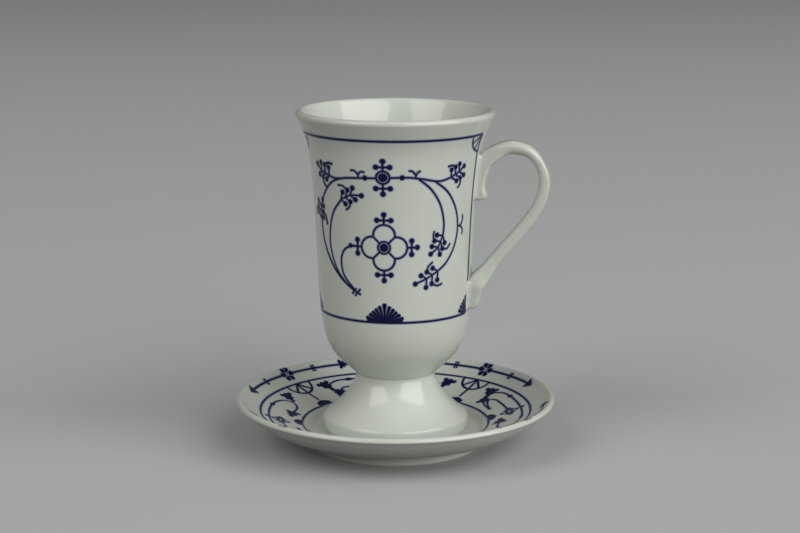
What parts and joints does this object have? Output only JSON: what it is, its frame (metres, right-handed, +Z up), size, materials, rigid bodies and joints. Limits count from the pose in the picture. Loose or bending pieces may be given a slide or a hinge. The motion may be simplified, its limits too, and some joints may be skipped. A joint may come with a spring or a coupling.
{
  "type": "coffee cup with saucer",
  "caption": "Tall footed porcelain coffee cup with a flared rim and a strap handle, standing in the well of a round saucer.",
  "frame": {"origin": "middle of the saucer's foot ring, on the surface that it stands on", "axes": "+Z up along the axis of the cup and the saucer, +X along the handle"},
  "size_m": [0.14, 0.14, 0.148],
  "materials": {
    "porcelain": "hard white porcelain under a clear gloss glaze",
    "cobalt": "dark cobalt blue decoration under the glaze"
  },
  "bodies": {
    "saucer": {"saucer": "porcelain"},
    "cup": {"cup_bowl": "porcelain", "cup_foot": "porcelain", "cup_handle": "porcelain"}
  },
  "joints": [
    {"name": "cup_lift", "type": "slide", "parent": "saucer", "child": "cup", "axis": [0, 0, 1], "range_m": [0, 0.1]}
  ]
}
